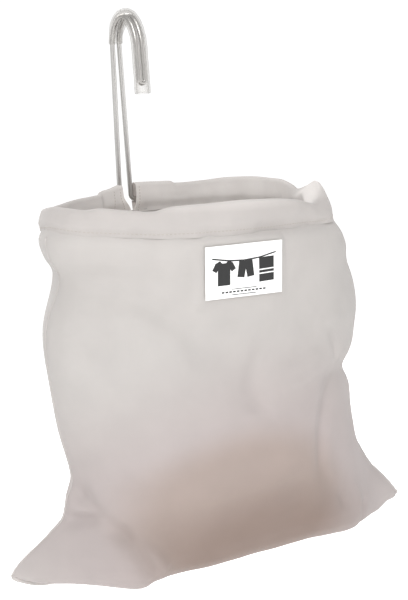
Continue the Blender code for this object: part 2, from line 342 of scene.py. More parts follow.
def metal_material(name):
    """Plated wire, a little uneven in tone and polish."""
    n = Nodes(name)
    where = n.add("TexCoord").outputs["Object"]
    rub = n.noise(where, Scale=30.0, Detail=2.0)
    shader = n.add("BsdfPrincipled", Metallic=1.0)
    tone = n.ramp(rub, [(0.3, (0.50, 0.49, 0.48)), (0.75, (0.57, 0.56, 0.545))])
    n.link(tone, shader.inputs["Base Color"])
    n.link(n.math("ADD", n.math("MULTIPLY", rub, 0.12), 0.25), shader.inputs["Roughness"])
    return n.surface(shader)


def sleeve_material(name):
    """Soft clear tube: it dims what is behind it, most toward its edges, with a pale gloss."""
    n = Nodes(name)
    where = n.add("TexCoord").outputs["Object"]
    cloud = n.noise(where, Scale=60.0, Detail=2.0)
    edge = n.add("LayerWeight", Blend=0.40).outputs["Facing"]
    clear = n.add("BsdfTransparent")
    n.link(n.mix(edge, (0.965, 0.962, 0.957), (0.70, 0.69, 0.68)), clear.inputs["Color"])
    gloss = n.add("BsdfPrincipled", IOR=1.45)
    tone = n.ramp(cloud, [(0.3, (0.74, 0.73, 0.715)), (0.7, (0.82, 0.81, 0.795))])
    n.link(tone, gloss.inputs["Base Color"])
    n.link(n.math("ADD", n.math("MULTIPLY", cloud, 0.15), 0.22), gloss.inputs["Roughness"])
    share = n.math("ADD", n.math("MULTIPLY", edge, 0.10), 0.05)
    return n.surface(n.mix_shaders(share, clear, gloss))


def plain_material(name, colour, roughness, bump=0.0):
    """Thread, woven label or ink: one colour with a very fine grain."""
    n = Nodes(name)
    where = n.add("TexCoord").outputs["Object"]
    grain = n.noise(where, Scale=900.0, Detail=2.0)
    shader = n.add("BsdfPrincipled", Roughness=roughness)
    tone = n.ramp(grain, [(0.3, tuple(c * 0.97 for c in colour)), (0.7, colour)])
    n.link(tone, shader.inputs["Base Color"])
    if bump:
        relief = n.add("Bump", Strength=0.5, Distance=bump)
        n.link(grain, relief.inputs["Height"])
        n.link(relief.outputs[0], shader.inputs["Normal"])
    return n.surface(shader)


CLOTH_COLOUR = linear(210, 206, 203)
# The outer face carries painted shade and painted shadow low down.
MAT_BAG = cloth_material("bag_mesh_cloth", CLOTH_COLOUR, painted_shade=True)
MAT_BAG_INSIDE = cloth_material("bag_mesh_cloth_inside", CLOTH_COLOUR)
# The hem's inner face is painted paler, as painted light.
MAT_HEM = cloth_material("hem_mesh_cloth", linear(212, 207, 204), inner_painted_light=linear(238, 234, 231))
MAT_SEAM = cloth_material("seam_tape", linear(213, 208, 205), weave=0.0007)
MAT_THREAD = plain_material("sewing_thread", linear(196, 189, 182), 0.7)
MAT_LABEL = plain_material("label_satin", linear(250, 250, 249), 0.45, bump=0.00002)
MAT_LABEL_THREAD = plain_material("label_thread", linear(228, 227, 226), 0.6)
MAT_INK = plain_material("label_print", linear(14, 14, 15), 0.5)
MAT_WIRE = metal_material("plated_wire")
MAT_SLEEVE = sleeve_material("clear_plastic")


# ---- wire ----
def hoop_xyz(angle):
    """Hoop centre line; angle in radians, 0 at the back, growing towards +X."""
    x = HOOP_A * np.sin(angle)
    y = HOOP_Y + HOOP_B * np.cos(angle)
    return np.stack([x, y, HOOP_Z - HOOP_DROP * x - hoop_sag(angle)], -1)


def hoop_sag(angle):
    """The hand-bent hoop dips a little at the front right and the back left."""
    degrees = np.degrees(np.mod(angle, 2 * math.pi))
    return 0.0045 * bell(degrees - 124, 26) + 0.0035 * bell(degrees - 305, 26)


def arch_point(angle, x=0.0):
    """Crook centre line; 0 is the foot of the arch at the front, pi at the back."""
    return np.array((x, -CROOK_R * math.cos(angle), CROOK_Z + CROOK_RISE * math.sin(angle)))


def free_leg_y(z):
    """The crook's front legs flare forward a little towards the tip."""
    return -CROOK_R - TIP_FLARE * smooth((CROOK_Z - z) / (TIP_DEPTH + CROOK_Z))


def half_wire(side):
    """Centre line of one half, from the free end round to the hoop's front."""
    points = []
    bend = LEG_GAP / 2
    tip_z = -TIP_DEPTH + bend
    for angle in np.linspace(0.0, math.pi / 2, 10)[1:]:
        z = tip_z - bend * math.cos(angle)
        points.append((side * bend * math.sin(angle), free_leg_y(z), z))
    for z in np.linspace(tip_z, CROOK_Z, 12)[1:-1]:
        points.append((side * bend, free_leg_y(z), z))
    for angle in np.linspace(0.0, math.pi, 49):
        spread = smooth((angle - NECK_START) / (math.pi - NECK_START))
        points.append(tuple(arch_point(angle, side * (bend + (BACK_GAP / 2 - bend) * spread))))
    start = math.asin(side * (FOOT_X + FOOT_R) / HOOP_A)
    joins = hoop_xyz(start)
    foot_z = joins[2] + FOOT_R
    for t in np.linspace(0.0, 1.0, 24)[1:]:
        x = BACK_GAP / 2 + (FOOT_X - BACK_GAP / 2) * t
        points.append((side * x, CROOK_R, CROOK_Z + (foot_z - CROOK_Z) * t))
    for angle in np.linspace(0.0, math.pi / 2, 9)[1:-1]:
        x = side * (FOOT_X + FOOT_R * (1.0 - math.cos(angle)))
        y = CROOK_R + (joins[1] - CROOK_R) * math.sin(angle) ** 2
        points.append((x, y, foot_z - FOOT_R * math.sin(angle)))
    points += [tuple(hoop_xyz(a)) for a in np.linspace(start, side * math.pi, 70)]
    return points


def tube(name, path, radius, sides, material):
    """A closed tube along a closed path, with a frame that doesn't twist."""
    path = np.asarray(path, float)
    count = len(path)
    along = unit(np.roll(path, -1, 0) - np.roll(path, 1, 0))
    across = np.zeros_like(path)
    across[0] = np.cross(along[0], (0, 0, 1.0))
    if np.linalg.norm(across[0]) < 0.1:
        across[0] = np.cross(along[0], (0, 1.0, 0))
    across[0] /= np.linalg.norm(across[0])
    for i in range(1, count):
        side = across[i - 1] - along[i] * (across[i - 1] @ along[i])
        across[i] = side / np.linalg.norm(side)
    closing = across[-1] - along[0] * (across[-1] @ along[0])
    closing /= np.linalg.norm(closing)
    slip = math.atan2(np.cross(closing, across[0]) @ along[0], closing @ across[0])
    third = np.cross(along, across)
    points = []
    for i in range(count):
        for k in range(sides):
            turn = 2 * math.pi * k / sides + slip * i / count
            points.append(path[i] + radius * (math.cos(turn) * across[i] + math.sin(turn) * third[i]))
    faces = grid_faces(count, sides, tube=True, closed=True)
    return mesh_object(name, points, faces, material)


tip = [(0.0, free_leg_y(-TIP_DEPTH), -TIP_DEPTH)]
wire = tube("wire_hanger", tip + half_wire(1.0) + half_wire(-1.0)[-2::-1], WIRE / 2, 20, MAT_WIRE)


# ---- sleeve ----
def sleeve_route():
    """Sleeve centre line, with how far its section is squeezed flat, 0 to 1."""
    route = [((0.0, free_leg_y(z), z), 0.0) for z in np.linspace(-SLEEVE_FREE, CROOK_Z, 16)[:-1]]
    last = math.pi - math.asin((-SLEEVE_BACK - CROOK_Z) / CROOK_RISE)
    for angle in np.linspace(0.0, last, 72):
        route.append((arch_point(angle), float(smooth((angle - NECK_START) / (NECK_END - NECK_START)))))
    return route


def make_sleeve():
    """A soft clear tube round both wires, with rounded rims at its two ends."""
    sides = 36
    route = sleeve_route()
    centres = np.array([point for point, _ in route], float)
    squeeze = np.array([value for _, value in route])
    along = unit(np.gradient(centres, axis=0))
    normal = np.cross((1.0, 0.0, 0.0), along)
    outer = SLEEVE_R + (NECK_R - SLEEVE_R) * squeeze
    wall = SLEEVE_WALL + (NECK_WALL - SLEEVE_WALL) * squeeze
    outer = outer * (1 + 0.012 * np.sin(np.arange(len(route)) * 0.9))
    profile = [(i, 0.0) for i in range(len(route))]
    profile += [(len(route) - 1, t) for t in (0.25, 0.75)]
    profile += [(i, 1.0) for i in range(len(route) - 1, -1, -1)]
    profile += [(0, t) for t in (0.75, 0.25)]
    points = []
    for i, inward in profile:
        end = 0.0
        if 0 < inward < 1:
            end = 0.0004 if i else -0.0004
        radius = outer[i] - wall[i] * inward
        for k in range(sides):
            turn = (k + 0.5) * 2 * math.pi / sides
            x = math.copysign(NECK_SPREAD * squeeze[i], math.cos(turn)) + radius * math.cos(turn)
            sideways = np.array((x, 0, 0))
            points.append(centres[i] + along[i] * end + normal[i] * radius * math.sin(turn) + sideways)
    faces = grid_faces(len(profile), sides, tube=True, closed=True)
    obj = mesh_object("clear_sleeve", points, faces, MAT_SLEEVE)
    face_outward(obj)
    return obj


sleeve = make_sleeve()

# ---- hem ----
# Round the rim, in degrees from the back towards +X: how far the rim's fold
# stands above or below its level place, and the same for the sewn foot, in mm.
RIM_TOP = (
    (3, 2.2), (13, 1.6), (21.4, 1.1), (22.6, -0.5), (34, 0.0), (46, 2.1), (58, 2.9), (70, 2.2),
    (80, 1.2), (87, -2.0), (92, -5.0), (98, -2.0), (105, 2.6), (112, 1.2), (118, -2.0), (124, -7.0),
    (130, -10.0), (137, -8.0), (145, -4.6), (153, -2.2), (162, 0.0), (171, 1.3), (181, 2.2),
    (192, 1.5), (205, 1.1), (211, -0.3), (216, -2.0), (224, -1.2), (232, 0.0), (240, 0.7),
    (248, -0.9), (256, -0.4), (264, -0.3), (272, -0.6), (283, -3.0), (297, -6.6), (311, -7.6),
    (324, -7.0), (335, -5.8), (343, -5.0), (346.5, -4.4), (348, -2.6), (352, -1.2), (357, 1.4),
)
RIM_FOOT = (
    (0, 0.0), (30, 2.0), (60, 2.5), (80, 0.5), (100, -4.0), (112, -6.0), (120, -5.4), (128, -4.5),
    (144, -3.1), (165, -2.7), (180, -1.9), (192, -1.1), (208, -0.5), (224, 1.3), (240, 2.4),
    (256, 4.2), (268, 4.8), (285, 2.0), (310, -1.5), (340, 0.0),
)
# Spare cloth stands off the hoop as a soft corner at the right: top, foot.
CORNER = ((60, 0, 0), (84, 0, 0), (91, 1.0, 2.0), (98, 5.0, 7.0), (106, 8.2, 13.0), (114, 9.0, 17.0),
          (122, 7.2, 16.0), (130, 4.0, 11.5), (140, 1.0, 5.5), (152, 0, 1.5), (165, 0, 0), (359, 0, 0))


def table(rows, degrees, column=1):
    """A smooth value in metres round the rim, from rows of degrees and mm."""
    keys = [row[0] for row in rows]
    return catmull(keys, [row[column] for row in rows], np.mod(degrees, 360), period=360) / 1000


def rim_frame(degrees):
    """Hoop point, outward direction and the rim's top and foot at an angle."""
    angle = np.radians(degrees)
    outward = np.stack([np.sin(angle) / HOOP_A, np.cos(angle) / HOOP_B, np.zeros_like(angle)], -1)
    outward = unit(outward)
    point = hoop_xyz(angle)
    point[..., 2] += hoop_sag(angle)
    top = HEM / 2 + table(RIM_TOP, degrees)
    foot = -HEM / 2 + table(RIM_FOOT, degrees)
    return point, outward, top, foot


# How far the whole hem leans: its top and its foot, outward, in mm.
HEM_LEAN = ((0, 0, 0), (100, 0, 0), (122, 0, 0), (135, 2.0, -1.2), (150, 3.0, -2.0), (168, 2.6, -1.8),
            (184, 1.2, -0.8), (200, 0, 0), (232, 0, 0), (246, -0.5, 3.0), (258, -0.8, 4.4),
            (272, -0.8, 4.4), (288, -0.3, 2.5), (305, 0, 0.5), (325, 0, 0))
HEM_SAMPLES = 31             # points across the folded cloth
HEM_END_ROWS = 5             # over which a slanted end straightens
HOOP_MEAN_R = 0.094
HEM_ROWS = {}                # each hem piece's points, for its stitches


def hem_sheet(name, start, end, count, shear_start=0.0, shear_end=0.0, pleat=None):
    """Cloth folded over the wire, from its outer foot over the fold to its inner foot."""
    # Along the section: s runs from -1 outside to 1 inside, level from -1 at
    # the feet to 1 at the fold, and middle from 0 to 1.
    s = np.linspace(-1.0, 1.0, HEM_SAMPLES)
    s = np.sign(s) * np.abs(s) ** 1.25
    level = 1.0 - 2.0 * np.abs(s)
    middle = (level + 1) / 2
    edge = smooth((0.25 - level) / 1.25)
    body = 0.0009 + 0.0027 * smooth((level + 1.0) / 0.85) - 0.0008 * smooth((level - 0.1) / 0.8)
    wall = -np.sign(s) * body * np.sqrt(np.clip(1.0 - np.clip(level, 0, 1) ** 7, 0, 1))
    points, uv = [], []
    run = 0.0
    for row, degrees in enumerate(np.linspace(start, end, count)):
        fade_start = max(0.0, 1 - row / HEM_END_ROWS)
        fade_end = max(0.0, 1 - (count - 1 - row) / HEM_END_ROWS)
        here = degrees + edge * (shear_start * fade_start + shear_end * fade_end)
        point, outward, top, foot = rim_frame(here)
        top_and_foot = lambda rows: table(rows, here, 1) * middle + table(rows, here, 2) * (1 - middle)
        stand = top_and_foot(CORNER) * (1 - smooth((s - 0.02) / 0.30)) + top_and_foot(HEM_LEAN)
        arc = np.radians(here) * HOOP_MEAN_R
        ripple, fine = (
            np.array([noise.noise(Vector((a / long, m * tall, seed))) for a, m in zip(arc, middle)])
            for long, tall, seed in ((0.016, 0.9, 1.3), (0.0065, 1.6, 8.3))
        )
        roll = 0.0017 * ripple + 0.0006 * fine * (1 - 0.4 * middle)
        out = wall + stand + roll * (0.35 + 0.65 * np.abs(level) ** 0.5)
        if pleat:
            place, width, depth = pleat
            across = smooth((place - here) / width) * smooth((here - place + 14) / 12)
            out = out - depth * across * (0.4 + 0.6 * middle)
        section = point + outward * out[:, None]
        section[:, 2] += foot + (top - foot) * middle
        if points:
            fold = HEM_SAMPLES // 2
            run += float(np.linalg.norm(section[fold] - points[-1][fold]))
        points.append(section)
        uv += [(run, length) for length in distance_along(section)]
    HEM_ROWS[name] = np.array(points)
    faces = grid_faces(count, HEM_SAMPLES, flip=True)
    obj = mesh_object(name, np.concatenate(points), faces, MAT_HEM)
    set_uv(obj, uv)
    thicken(obj, CLOTH)
    return obj


# The slit the legs pass through: its right edge is upright, its left edge
# slants across to meet it at the foot.  In degrees round the hoop.
SLIT_RIGHT_TOP, SLIT_RIGHT_FOOT = 4.2, 3.5
SLIT_LEFT_TOP, SLIT_LEFT_FOOT = -1.9, 2.5
hem_front = hem_sheet("hem_front", 90.0, 270.0, 240)
hem_right = hem_sheet("hem_back_right", SLIT_RIGHT_TOP, 90.0, 112,
                      shear_start=SLIT_RIGHT_FOOT - SLIT_RIGHT_TOP)
hem_left = hem_sheet("hem_back_left", 270.0, 360 + SLIT_LEFT_TOP, 112,
                     shear_end=SLIT_LEFT_FOOT - SLIT_LEFT_TOP, pleat=(347.5, 1.6, 0.0022))

# ---- bag cloth ----
# Height, left and right edges, front and back bulge, twist in degrees, how
# far the section draws to points at its sides, and its squareness.
STATIONS = np.array((
    (HEM_FOOT + 0.0020, -0.1128, 0.1128, 0.0732, 0.0732, 0.0, 0.00, 2.6),
    (HEM_FOOT - 0.0060, -0.1172, 0.1200, 0.0756, 0.0748, -0.4, 0.00, 2.6),
    (-0.1680, -0.1155, 0.1325, 0.0745, 0.0730, -1.1, 0.02, 2.6),
    (-0.1811, -0.1088, 0.1435, 0.073, 0.071, -2.0, 0.05, 2.6),
    (-0.2161, -0.1212, 0.1550, 0.069, 0.065, -4.0, 0.15, 2.6),
    (-0.2561, -0.1180, 0.1500, 0.072, 0.062, -5.5, 0.20, 2.6),
    (-0.2961, -0.1105, 0.1450, 0.077, 0.064, -7.0, 0.30, 2.6),
    (-0.3361, -0.1022, 0.1500, 0.078, 0.066, -8.0, 0.40, 2.7),
    (-0.3525, -0.1075, 0.1536, 0.0768, 0.065, -8.4, 0.46, 2.8),
    (-0.3640, -0.1092, 0.1575, 0.0755, 0.064, -8.7, 0.52, 2.9),
    (-0.3761, -0.1125, 0.1618, 0.073, 0.062, -9.0, 0.60, 3.0),
    (-0.3860, -0.1220, 0.1655, 0.070, 0.060, -9.5, 0.72, 3.3),
    (-0.3991, -0.1365, 0.1732, 0.066, 0.057, -10.0, 0.85, 3.6),
    (-0.4121, -0.1500, 0.1812, 0.057, 0.047, -10.0, 1.00, 4.2),
    (-0.4186, -0.1552, 0.1856, 0.038, 0.031, -10.0, 1.00, 4.2),
    (-0.4201, -0.1560, 0.1872, 0.000, 0.000, -10.0, 1.00, 4.2),
))
# How high the bottom edge stands, in mm, from left ear to right ear.
BOTTOM_RISE = (
    (-1.0, 14.5), (-0.925, 8.6), (-0.875, 5.8), (-0.82, 4.8), (-0.77, 4.6), (-0.71, 5.0), (-0.66, 4.0),
    (-0.60, 1.6), (-0.51, -1.4), (-0.44, 2.6), (-0.38, 4.4), (-0.3, 5.2), (-0.15, 5.4), (0.0, 6.9),
    (0.15, 7.2), (0.3, 7.2), (0.5, 7.4), (0.6, 7.0), (0.7, 7.2), (0.8, 7.9), (0.87, 9.2), (0.94, 14.6),
    (1.0, 17.0),
)
EAR = 0.42                   # share of the half-width taken by each flat corner
# Creases that bite into the sides: height, direction, depth, half-height in
# metres, and half-width in radians.
NOTCHES = ((-0.2795, 0.15, 0.0098, 0.0115, 1.1),)
LEAN = 0.15                  # how much fuller the left half is than the right
BULGE_BACK = 0.004           # how far the section's middle moves back, low down
BAG_HEIGHT = STATIONS[0, 0] - STATIONS[-1, 0]


def bag_point(theta, v):
    """The bag's smooth form; theta 0 is the right seam, pi/2 the front, pi the left seam."""
    keys = (STATIONS[0, 0] - STATIONS[:, 0]) / BAG_HEIGHT
    z, left, right, front, back, twist, pointed, square = catmull(keys, STATIONS, v).T
    centre = (left + right) / 2
    half = (right - left) / 2
    down = STATIONS[0, 0] - z
    across = np.cos(theta)
    face = np.where(np.sin(theta) >= 0, -1.0, 1.0)
    bulge = np.where(face < 0, front, back)
    inward = (1 - np.abs(across)) / EAR
    box = inward / (1 + inward**9) ** (1 / 9)
    boxy = smooth((down - 0.220) / 0.045)
    lens = ((1 - boxy) * (1 - np.abs(across) ** square) + boxy * box) * (1 - LEAN * across)
    depth = np.maximum(bulge, 0) * ((1 - pointed) * np.abs(np.sin(theta)) + pointed * lens)
    x = half * across
    y = face * depth
    turn = np.radians(twist)
    px = centre + x * np.cos(turn) - y * np.sin(turn)
    py = HOOP_Y + BULGE_BACK * smooth(down / 0.214) + x * np.sin(turn) + y * np.cos(turn)
    rim = HOOP_DROP * px * (1 - smooth(down / 0.102))
    low = smooth((down - 0.188) / 0.084)
    keys, rise = np.array(BOTTOM_RISE).T
    pz = z - rim + low * catmull(keys, rise, across) / 1000
    for height, aim, bite, tall, wide in NOTCHES:
        away = np.angle(np.exp(1j * (theta - aim)))
        px = px - bite * bell(z - height, tall) * bell(away, wide) * np.sign(np.cos(aim))
    near_rim = 1 - smooth(down / 0.050)
    at_rim = 1 - smooth(down / 0.010)
    degrees = 90 + np.degrees(theta)
    angle = np.radians(degrees)
    lean = table(HEM_LEAN, degrees, 2)
    stand = (table(CORNER, degrees, 2) + np.maximum(lean, 0)) * near_rim
    stand = stand + np.minimum(lean, 0) * at_rim
    px = px + np.sin(angle) * stand
    py = py + np.cos(angle) * stand
    pz = pz + table(RIM_FOOT, degrees) * (1 - smooth(down / 0.030))
    return np.stack([px, py, pz], -1)


HALF_COLUMNS = 126
ROWS = 128
PANEL = 0.33                 # side of each panel's square of cloth


def bag_grid():
    """Rows and columns of near-square cells over the closed bag."""
    fine_v = np.linspace(0, 1, 6000)
    line = bag_point(np.full_like(fine_v, math.pi / 2), fine_v)
    run = distance_along(line)
    vs = np.interp(np.linspace(0, run[-1], ROWS), run, fine_v)
    grid = np.zeros((ROWS, 2 * HALF_COLUMNS, 3))
    for j, v in enumerate(vs):
        for k in range(2):
            theta = np.linspace(k * math.pi, (k + 1) * math.pi, 361)
            theta[0] += 1e-6
            theta[-1] -= 1e-6
            ring = bag_point(theta, np.full_like(theta, v))
            length = distance_along(ring)
            places = np.linspace(0, length[-1], HALF_COLUMNS + 1)[:-1]
            half = slice(k * HALF_COLUMNS, (k + 1) * HALF_COLUMNS)
            for axis in range(3):
                grid[j, half, axis] = np.interp(places, length, ring[:, axis])
    return grid


def grid_normals(grid):
    """Outward normals of the closed grid."""
    around = np.roll(grid, -1, 1) - np.roll(grid, 1, 1)
    down = np.gradient(grid, axis=0)
    normal = np.cross(down, around)
    length = np.linalg.norm(normal, axis=2)[..., None]
    return -normal / np.maximum(length, 1e-12)


LABEL_W, LABEL_H = 0.0695, 0.0410
LABEL_X, LABEL_TOP = 0.0015, -0.1583
LABEL_TILT = -0.060          # how far the patch hangs down to the right
LABEL_LEAN = 0.060           # sideways shift per metre down
LABEL_PROUD = 0.0016         # how far the patch stands off the flattened cloth
LABEL_CURL = 0.00024
LABEL_CLOTH = 0.0005
LABEL_MARGIN = 0.0085        # cloth beside the patch that it still pulls flat
LABEL_STIFF = 0.9            # 1 would make the cloth under it quite flat
PRINT_PROUD, PRINT_INK = 0.00034, 0.00006
BORDER_INSET, BORDER_PROUD = 0.0013, 0.00026

# Folds in the front cloth: depth in mm (negative is a valley), widths in mm
# on the two sides of the line, and the line itself as (x, z) in metres.
FOLDS = (
    (-4.2, 16, 9, ((-0.116, -0.175), (-0.085, -0.190), (-0.062, -0.203), (-0.044, -0.218),
                   (-0.033, -0.233))),
    (2.9, 10, 16, ((-0.111, -0.191), (-0.090, -0.201), (-0.066, -0.217), (-0.046, -0.243),
                   (-0.038, -0.266))),
    (-3.5, 10, 8, ((-0.121, -0.213), (-0.116, -0.221), (-0.110, -0.233), (-0.104, -0.247))),
    (2.2, 8, 12, ((-0.119, -0.229), (-0.114, -0.241), (-0.108, -0.257))),
    (4.2, 26, 26, ((0.052, -0.253), (0.056, -0.281))),
    (-3.8, 7, 10, ((0.036, -0.237), (0.018, -0.247), (0.008, -0.267), (0.014, -0.287), (0.024, -0.303))),
    (-5.4, 6, 9, ((0.112, -0.273), (0.096, -0.283), (0.082, -0.301), (0.075, -0.319), (0.071, -0.346),
                  (0.081, -0.362))),
    (-2.9, 5, 5, ((0.088, -0.237), (0.098, -0.253), (0.101, -0.271))),
    (2.9, 9, 12, ((0.140, -0.235), (0.100, -0.234), (0.070, -0.241))),
    (1.4, 8, 14, ((-0.066, -0.331), (-0.060, -0.313), (-0.052, -0.299), (-0.036, -0.292), (-0.010, -0.290),
                  (0.016, -0.295), (0.047, -0.313), (0.062, -0.333))),
    (1.8, 9, 6, ((-0.048, -0.357), (-0.029, -0.350), (-0.002, -0.346), (0.030, -0.344), (0.057, -0.339))),
    (-6.0, 4.0, 5.5, ((-0.103, -0.336), (-0.102, -0.349), (-0.097, -0.362))),
    (-6.0, 4.0, 5.0, ((-0.114, -0.366), (-0.106, -0.365), (-0.096, -0.362))),
    (-5.2, 5, 6.5, ((-0.097, -0.362), (-0.089, -0.372), (-0.083, -0.384), (-0.079, -0.400),
                    (-0.073, -0.412))),
    (5.0, 4.5, 6, ((-0.082, -0.381), (-0.072, -0.393), (-0.066, -0.405))),
    (-2.6, 4, 5, ((0.095, -0.371), (0.099, -0.387))),
    (-2.9, 5, 5, ((0.131, -0.387), (0.124, -0.410))),
    (2.2, 5, 6, ((0.108, -0.365), (0.118, -0.383), (0.116, -0.403))),
)
FOLD_STRENGTH = 0.85         # share of each fold's depth that is used


def fold_line(points):
    """A smooth line through a fold's points."""
    points = np.array(points)
    count = 30 * (len(points) - 1) + 1
    if len(points) == 2:
        return points[0] + (points[1] - points[0]) * np.linspace(0, 1, count)[:, None]
    return catmull(np.arange(len(points)), points, np.linspace(0, len(points) - 1, count))


def front_relief(x, z):
    """How far the folds push the front cloth out, in metres."""
    total = np.zeros_like(x)
    for depth, wide_left, wide_right, points in FOLDS:
        line = fold_line(points)
        dx = x[..., None] - line[:, 0]
        dz = z[..., None] - line[:, 1]
        far = np.hypot(dx, dz)
        near = far.argmin(-1)
        run = unit(np.gradient(line, axis=0))
        take = lambda a: np.take_along_axis(a, near[..., None], -1)[..., 0]
        reach = take(far)
        lean = (take(dx) * run[near, 1] - take(dz) * run[near, 0]) / np.maximum(reach, 1e-6)
        width = (wide_left + wide_right + (wide_right - wide_left) * lean) / 2000
        place = near / (len(line) - 1)
        taper = 0.25 + 0.75 * smooth(np.minimum(place, 1 - place) / 0.35)
        total += depth / 1000 * bell(reach, width) * taper
    return FOLD_STRENGTH * total


def label_mask(x, z, margin):
    """1 under the label, falling to 0 a margin away."""
    v = LABEL_TOP + LABEL_TILT * (x - LABEL_X) - z
    u = x - LABEL_X - LABEL_LEAN * v
    beyond_u = np.maximum(np.abs(u) - LABEL_W / 2, 0)
    beyond_v = np.maximum(np.abs(v - LABEL_H / 2) - LABEL_H / 2, 0)
    return smooth(1 - beyond_u / margin) * smooth(1 - beyond_v / margin)


def flatten_under_label(grid):
    """The stiff patch keeps the cloth under it nearly flat."""
    x, y, z = grid[..., 0], grid[..., 1], grid[..., 2]
    front = y < HOOP_Y
    inside = front & (label_mask(x, z, 0.001) > 0.5)
    terms = np.stack([np.ones(inside.sum()), x[inside], z[inside]], 1)
    plane = np.linalg.lstsq(terms, y[inside], rcond=None)[0]
    flat = plane[0] + plane[1] * x + plane[2] * z
    mask = label_mask(x, z, LABEL_MARGIN) * front * LABEL_STIFF
    grid = grid.copy()
    grid[..., 1] = y + (flat - y) * mask
    return grid, plane


def shape_bag():
    """The bag's form with its folds and its soft unevenness pushed into it."""
    grid = bag_grid()
    normal = grid_normals(grid)
    rows = np.linspace(0, 1, ROWS)[:, None]
    keep_rim = smooth(rows / 0.05)
    keep_seam = smooth((1 - rows) / 0.03)
    front = np.zeros(2 * HALF_COLUMNS)
    columns = np.arange(HALF_COLUMNS)
    front[:HALF_COLUMNS] = smooth(np.minimum(columns, HALF_COLUMNS - columns) / 5.0)
    from_front = np.abs(np.arange(2 * HALF_COLUMNS) - HALF_COLUMNS * 0.5)
    behind = smooth(from_front / (HALF_COLUMNS * 0.52))
    push = front_relief(grid[..., 0], grid[..., 2]) * front
    flat = grid.reshape(-1, 3)
    broad = noise_field(flat * (1, 1, 0.7), 0.055, (3.1, 0.4, 7.7)).reshape(push.shape)
    small = noise_field(flat * (1, 1, 0.55), 0.021, (0.3, 5.4, 1.7)).reshape(push.shape)
    push += 0.0022 * broad + 0.0006 * small
    slack = noise_field(flat * (1, 1, 0.45), 0.035, (9.1, 2.4, 4.7)).reshape(push.shape)
    push += behind * 0.0025 * slack
    return grid + normal * (push * keep_rim * keep_seam)[..., None]


def cloth_sheets(grid):
    """Front and back panels as thin sheets, with coordinates along the cloth."""
    sheets = []
    ring = np.concatenate([grid, grid[:, :1]], 1)
    for name, first in (("front_cloth", 0), ("back_cloth", HALF_COLUMNS)):
        part = ring[:, first:first + HALF_COLUMNS + 1]
        faces = grid_faces(ROWS, HALF_COLUMNS + 1, flip=True)
        obj = mesh_object(name, part.reshape(-1, 3), faces, MAT_BAG_INSIDE)
        across = np.linspace(-PANEL / 2, PANEL / 2, HALF_COLUMNS + 1)
        down = np.linspace(0, PANEL, ROWS)
        u, v = np.meshgrid(across, down)
        set_uv(obj, np.stack([u.ravel(), v.ravel()], 1))
        thicken(obj, CLOTH, outside=MAT_BAG)
        sheets.append(obj)
    return sheets


grid, label_flat = flatten_under_label(shape_bag())
front_cloth, back_cloth = cloth_sheets(grid)


# ---- seams ----
def tape(name, path, wide, tall):
    """A flattened tube along a path; wide and tall are vectors at each point."""
    sides = 10
    points = []
    for i, (centre, across, up) in enumerate(zip(path, wide, tall)):
        narrow = 0.35 if i in (0, len(path) - 1) else 1.0
        for k in range(sides):
            turn = 2 * math.pi * k / sides
            points.append(centre + (math.cos(turn) * across + math.sin(turn) * up) / 2 * narrow)
    obj = mesh_object(name, points, grid_faces(len(path), sides, tube=True), MAT_SEAM)
    face_outward(obj)
    length = distance_along(path)
    set_uv(obj, [(length[i], k * 0.001) for i in range(len(path)) for k in range(sides)])
    return obj


def side_seam(name, column, size=1.0):
    """The sewn edges down one side, standing a little off the cloth."""
    path = grid[2:, column]
    neighbours = (grid[2:, (column + 3) % (2 * HALF_COLUMNS)] + grid[2:, column - 3]) / 2
    outward = unit(path - neighbours)
    along = unit(np.gradient(path, axis=0))
    outward = unit(outward - along * (outward * along).sum(1)[:, None])
    through = np.cross(along, outward)
    size = size * (1 + 0.12 * np.sin(np.arange(len(path)) * 1.7)[:, None])
    return tape(name, path + outward * 0.0002, outward * 0.0020 * size, through * 0.0011)


seam_right = side_seam("side_seam_right", 0)
seam_left = side_seam("side_seam_left", HALF_COLUMNS, 0.7)
bottom_path = grid[-1, :HALF_COLUMNS + 1]
bottom_down = np.tile((0.0, 0.0, -1.0), (len(bottom_path), 1))
bottom_across = unit(np.cross(np.gradient(bottom_path, axis=0), bottom_down))
seam_bottom = tape("bottom_seam_tape", bottom_path + bottom_down * 0.0010, bottom_down * 0.0036,
                   bottom_across * 0.0017)

# ---- label ----
def label_point(u, v, proud):
    """u, v in metres across and down from the label's top middle."""
    x = LABEL_X + u + LABEL_LEAN * v
    z = LABEL_TOP - v + LABEL_TILT * u
    curl = LABEL_CURL * math.sin(u / 0.011) * math.cos(v / 0.009)
    cloth_y = label_flat[0] + label_flat[1] * x + label_flat[2] * z
    return np.array((x, cloth_y - LABEL_PROUD - proud + curl, z))


def make_label():
    """The sewn patch: a slightly curled sheet a little off the cloth."""
    columns, rows = 36, 22
    flat = [(LABEL_W * i / (columns - 1), LABEL_H * j / (rows - 1))
            for j in range(rows) for i in range(columns)]
    points = [label_point(u - LABEL_W / 2, v, 0.0) for u, v in flat]
    obj = mesh_object("label_patch", points, grid_faces(rows, columns, flip=True), MAT_LABEL)
    set_uv(obj, flat)
    thicken(obj, LABEL_CLOTH)
    return obj


# A generic print: washing on a line, as outlines in mm from the label's top middle.
SHIRT = ((-22, 11.6), (-20, 13.6), (-16.4, 13.6), (-14.4, 11.6), (-10.5, 13.4), (-7.6, 18.4),
         (-11.2, 20.6), (-12.6, 18.8), (-12.6, 31), (-23.8, 31), (-23.8, 18.8), (-25.2, 20.6),
         (-28.8, 18.4), (-25.9, 13.4))
SHORTS = ((-4.6, 12.6), (7.4, 12.6), (9.0, 25.4), (2.8, 26.2), (1.4, 19.4), (0.0, 26.2), (-6.2, 25.4))
LINE = ((-29, 9.0), (-14, 11.4), (0, 12.2), (14, 11.2), (29, 8.2), (29, 9.2), (14, 12.3), (0, 13.4),
        (-14, 12.6), (-29, 10.1))


